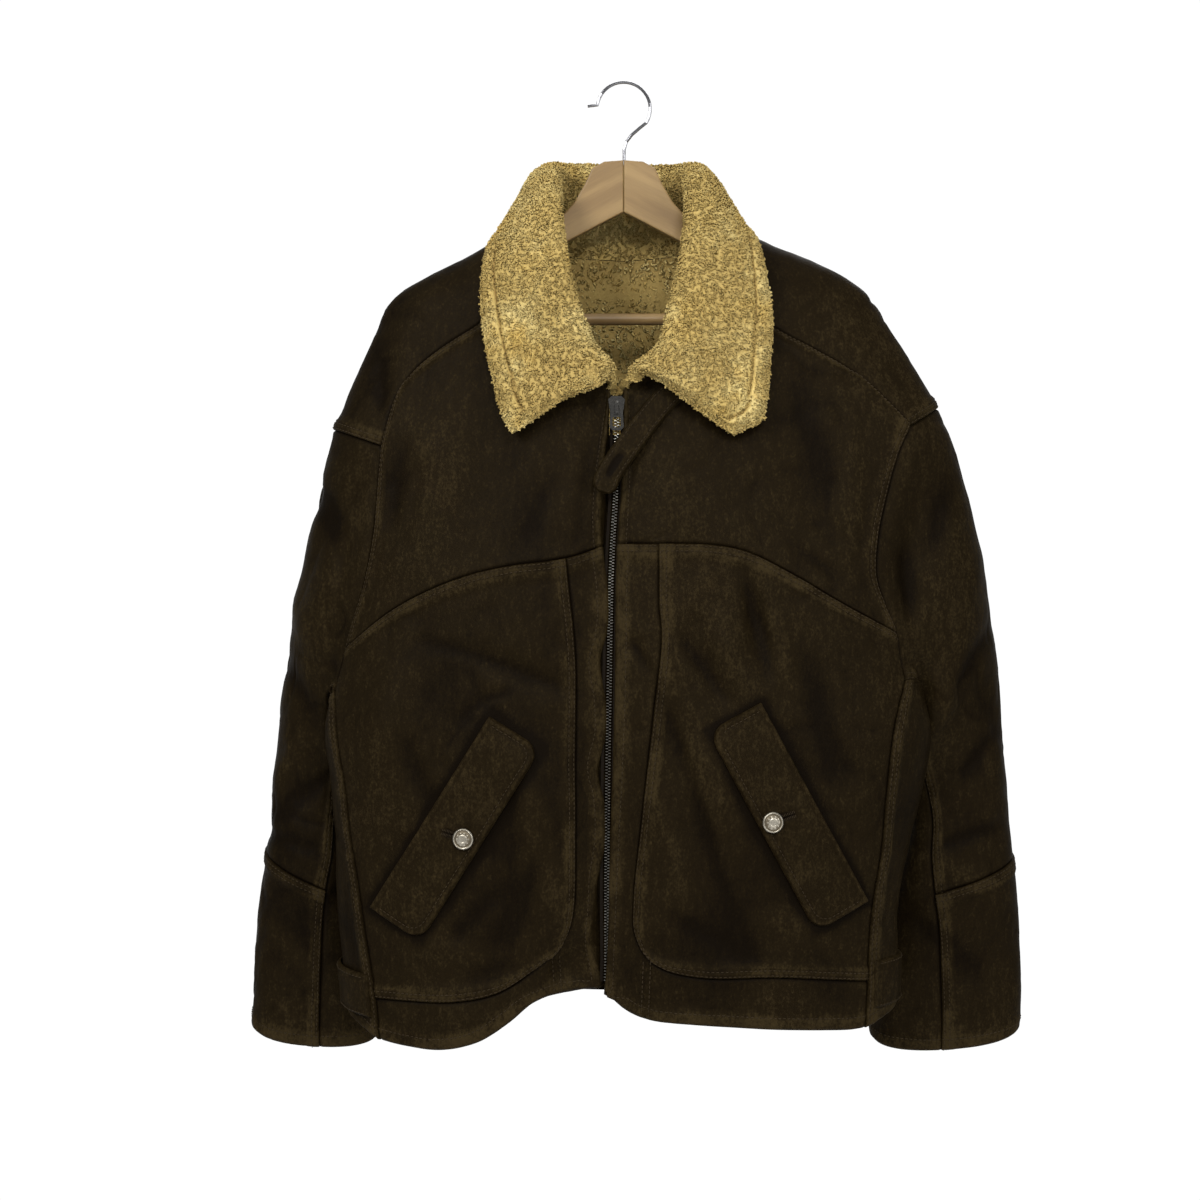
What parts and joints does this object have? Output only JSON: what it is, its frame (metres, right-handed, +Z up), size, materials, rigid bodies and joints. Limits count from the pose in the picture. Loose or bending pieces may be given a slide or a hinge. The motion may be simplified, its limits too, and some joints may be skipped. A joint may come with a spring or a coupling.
{
  "type": "leather jacket",
  "caption": "Fur-lined leather jacket with a wide wool collar, front zip, slanted pocket flaps and waist tabs, hanging on a flat wooden hanger with a wire hook.",
  "frame": {"origin": "inner top of the hanger's hook, where a nail or rail holds it", "axes": "+Z up, +X to the viewer's right of the jacket's front, the front faces -Y"},
  "size_m": [0.7307, 0.2224, 0.9051],
  "materials": {
    "leather": "worn dark brown leather with a soft sheen",
    "fleece": "curly sheep's wool",
    "button_metal": "aged metal",
    "zip_metal": "worn plated metal",
    "zip_tape": "woven tape",
    "hanger_wood": "satin lacquered",
    "hook_wire": "bright"
  },
  "bodies": {
    "jacket": {"back": "leather", "band_left": "leather", "band_right": "leather", "button_left": "button_metal", "button_right": "button_metal", "chest_left": "leather", "chest_right": "leather", "collar": "fleece", "front_left": "leather", "front_right": "leather", "hanger_arm_left": "hanger_wood", "hanger_arm_right": "hanger_wood", "hanger_bar": "hanger_wood", "hanger_hook": "hook_wire", "pocket_flap_left": "leather", "pocket_flap_right": "leather", "shoulder_left": "leather", "shoulder_right": "leather", "side_left": "leather", "side_right": "leather", "side_tab_left": "leather", "side_tab_right": "leather", "sleeve_forearm_left": "leather", "sleeve_forearm_right": "leather", "sleeve_top_left": "leather", "sleeve_top_right": "leather", "sleeve_under_left": "leather", "sleeve_under_right": "leather", "throat_strap": "leather", "zip_chain": "zip_metal", "zip_slider": "zip_metal", "zip_tape_left": "zip_tape", "zip_tape_right": "zip_tape"},
    "pull_tab": {"zip_pull": "zip_metal"}
  },
  "joints": [
    {"name": "pull_swing", "type": "hinge", "parent": "jacket", "child": "pull_tab", "pos_m": [-0.00708, -0.08084, -0.3044], "axis": [-1, 0, 0], "range_deg": [0, 100]}
  ]
}
